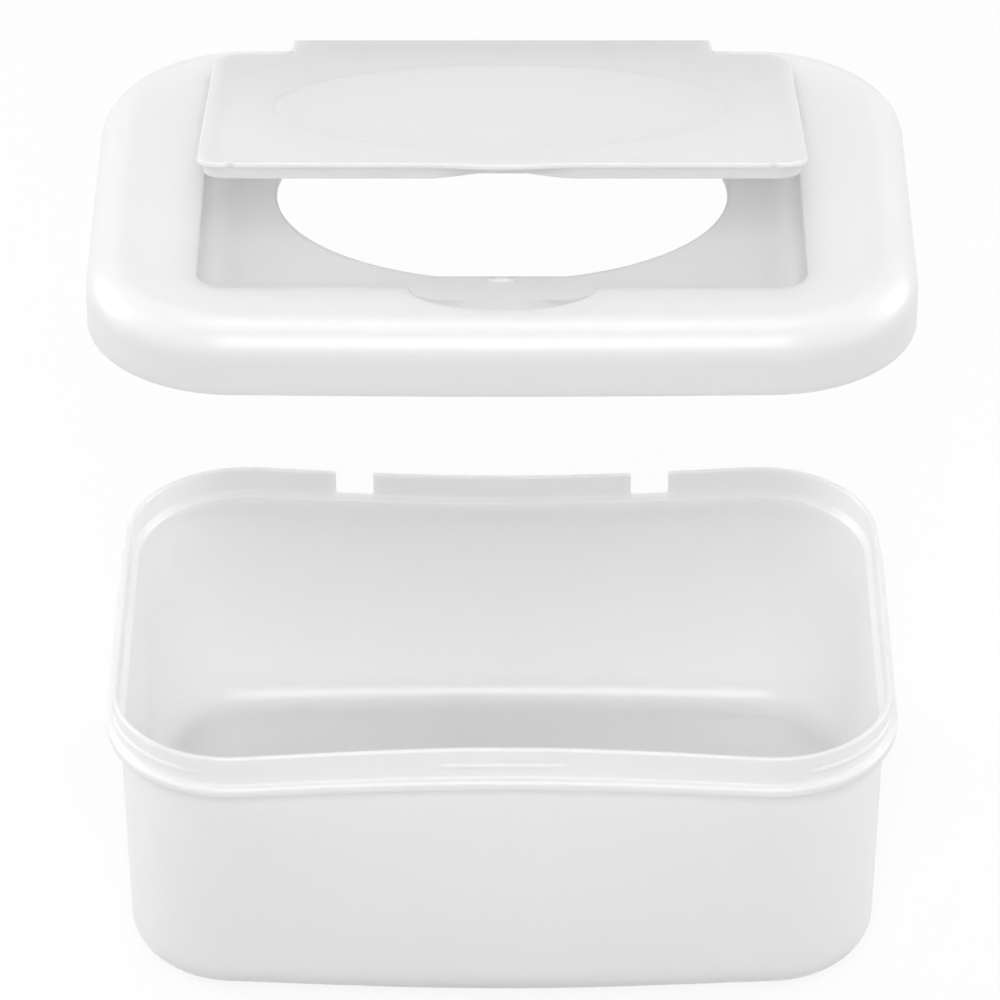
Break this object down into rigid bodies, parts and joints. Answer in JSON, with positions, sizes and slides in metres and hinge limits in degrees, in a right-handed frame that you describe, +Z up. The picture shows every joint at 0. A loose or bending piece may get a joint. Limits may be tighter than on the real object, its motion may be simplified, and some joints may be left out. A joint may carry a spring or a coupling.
{
  "type": "wet wipes container",
  "caption": "Open rounded plastic tub with its lid lifted above it; the lid has an oval dispensing hole under a hinged flap.",
  "frame": {"origin": "middle of the tub's flat underside, on the surface that the tub stands on", "axes": "+Z up, +X along the tub's long side, -Y towards the front, where the flap is lifted"},
  "size_m": [0.203, 0.1456, 0.2361],
  "materials": {
    "tub_plastic": "glossy moulded polypropylene",
    "lid_plastic": "glossy moulded polypropylene",
    "flap_plastic": "satin moulded polypropylene"
  },
  "bodies": {
    "tub": {"tub": "tub_plastic"},
    "lid": {"lid": "lid_plastic"},
    "flap": {"flap": "flap_plastic"}
  },
  "joints": [
    {"name": "lid_lift", "type": "slide", "parent": "tub", "child": "lid", "axis": [0, 0, 1], "range_m": [-0.118, 0]},
    {"name": "flap_hinge", "type": "hinge", "parent": "lid", "child": "flap", "pos_m": [0, 0.0711, 0.2028], "axis": [-1, 0, 0], "range_deg": [-15, 95], "stiffness_Nm_per_rad": 0.02, "springref_deg": 34.38}
  ]
}
